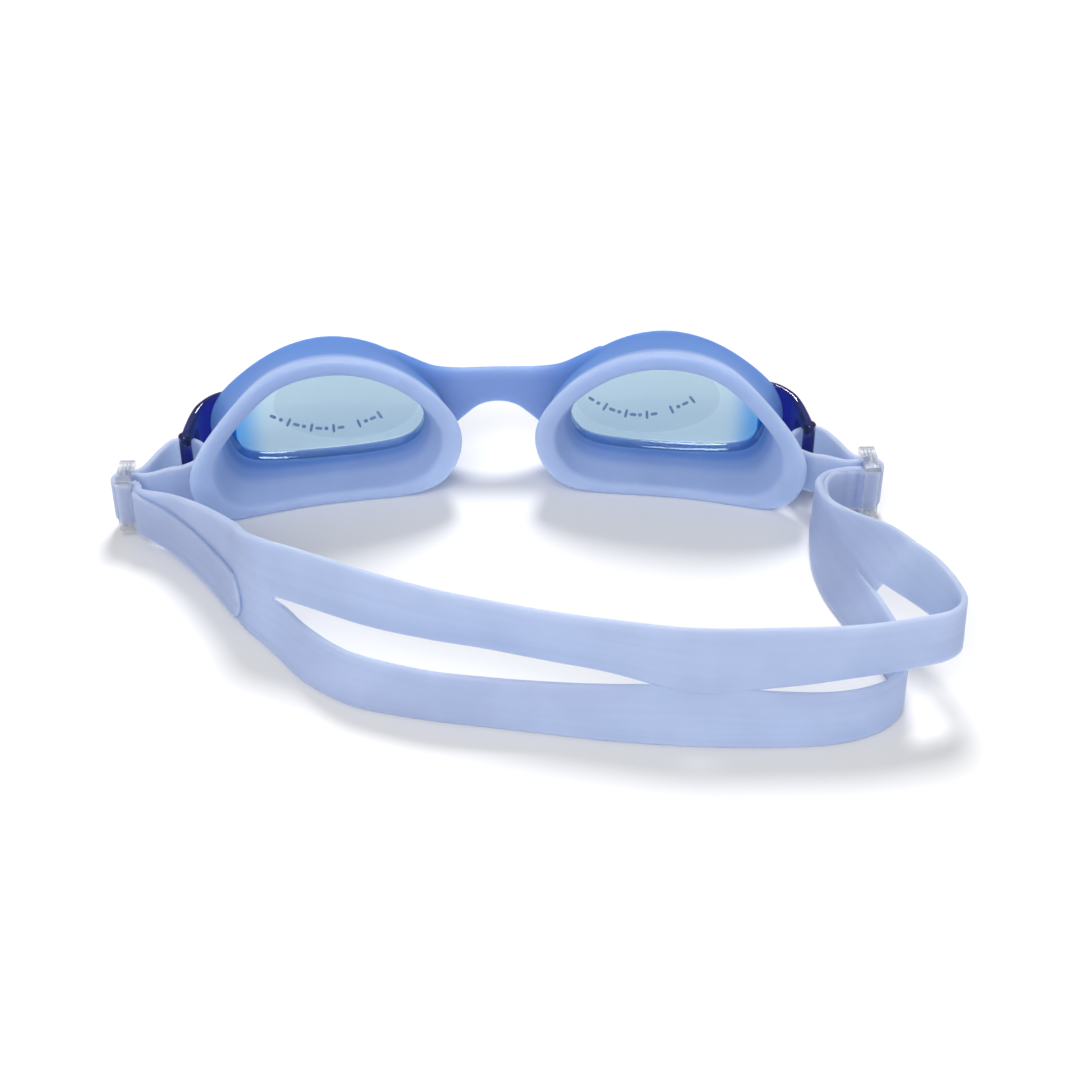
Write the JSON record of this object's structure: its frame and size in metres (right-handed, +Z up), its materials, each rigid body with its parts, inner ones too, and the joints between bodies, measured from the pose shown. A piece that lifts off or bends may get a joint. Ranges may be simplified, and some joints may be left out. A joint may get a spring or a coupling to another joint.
{
  "type": "swim goggles",
  "caption": "Swim goggles: one-piece silicone frame with nose bridge, tinted lenses with strap posts, split silicone head strap and clear strap sliders.",
  "frame": {"origin": "on the surface that the goggles lie on, under the middle of the whole object", "axes": "+X from the -X lens (left) to the +X lens (right); +Y the way the lenses face; +Z up, from the brow edge to the cheek edge, because the goggles lie upside down"},
  "size_m": [0.1826, 0.1142, 0.0385],
  "materials": {
    "silicone_frame": "frosted translucent silicone",
    "silicone_strap": "frosted translucent silicone",
    "tinted_lens": "clear blue tinted, polished",
    "clear_film": "clear thin film, glossy",
    "clear_slider": "clear, polished"
  },
  "bodies": {
    "goggles": {"face_frame": "silicone_frame", "lens_left": "tinted_lens", "lens_right": "tinted_lens"},
    "head_strap": {"strap": "silicone_strap"},
    "slider_left": {"buckle_left": "clear_slider"},
    "slider_right": {"buckle_right": "clear_slider"},
    "film_left": {"protective_film_left": "clear_film"},
    "film_right": {"protective_film_right": "clear_film"}
  },
  "joints": [
    {"name": "strap_swing", "type": "hinge", "parent": "goggles", "child": "head_strap", "pos_m": [-0.00213, 0.03463, 0.01002], "axis": [1, 0, 0], "range_deg": [-9, 9]},
    {"name": "slider_left_adjust", "type": "slide", "parent": "head_strap", "child": "slider_left", "axis": [1, 0, 0], "range_m": [0, 0.004], "deforming": ["strap"]},
    {"name": "slider_right_adjust", "type": "slide", "parent": "head_strap", "child": "slider_right", "axis": [-1, 0, 0], "range_m": [0, 0.004], "deforming": ["strap"]},
    {"name": "film_left_peel", "type": "slide", "parent": "goggles", "child": "film_left", "axis": [0, 1, 0], "range_m": [0, 0.03]},
    {"name": "film_right_peel", "type": "slide", "parent": "goggles", "child": "film_right", "axis": [0, 1, 0], "range_m": [0, 0.03]}
  ]
}
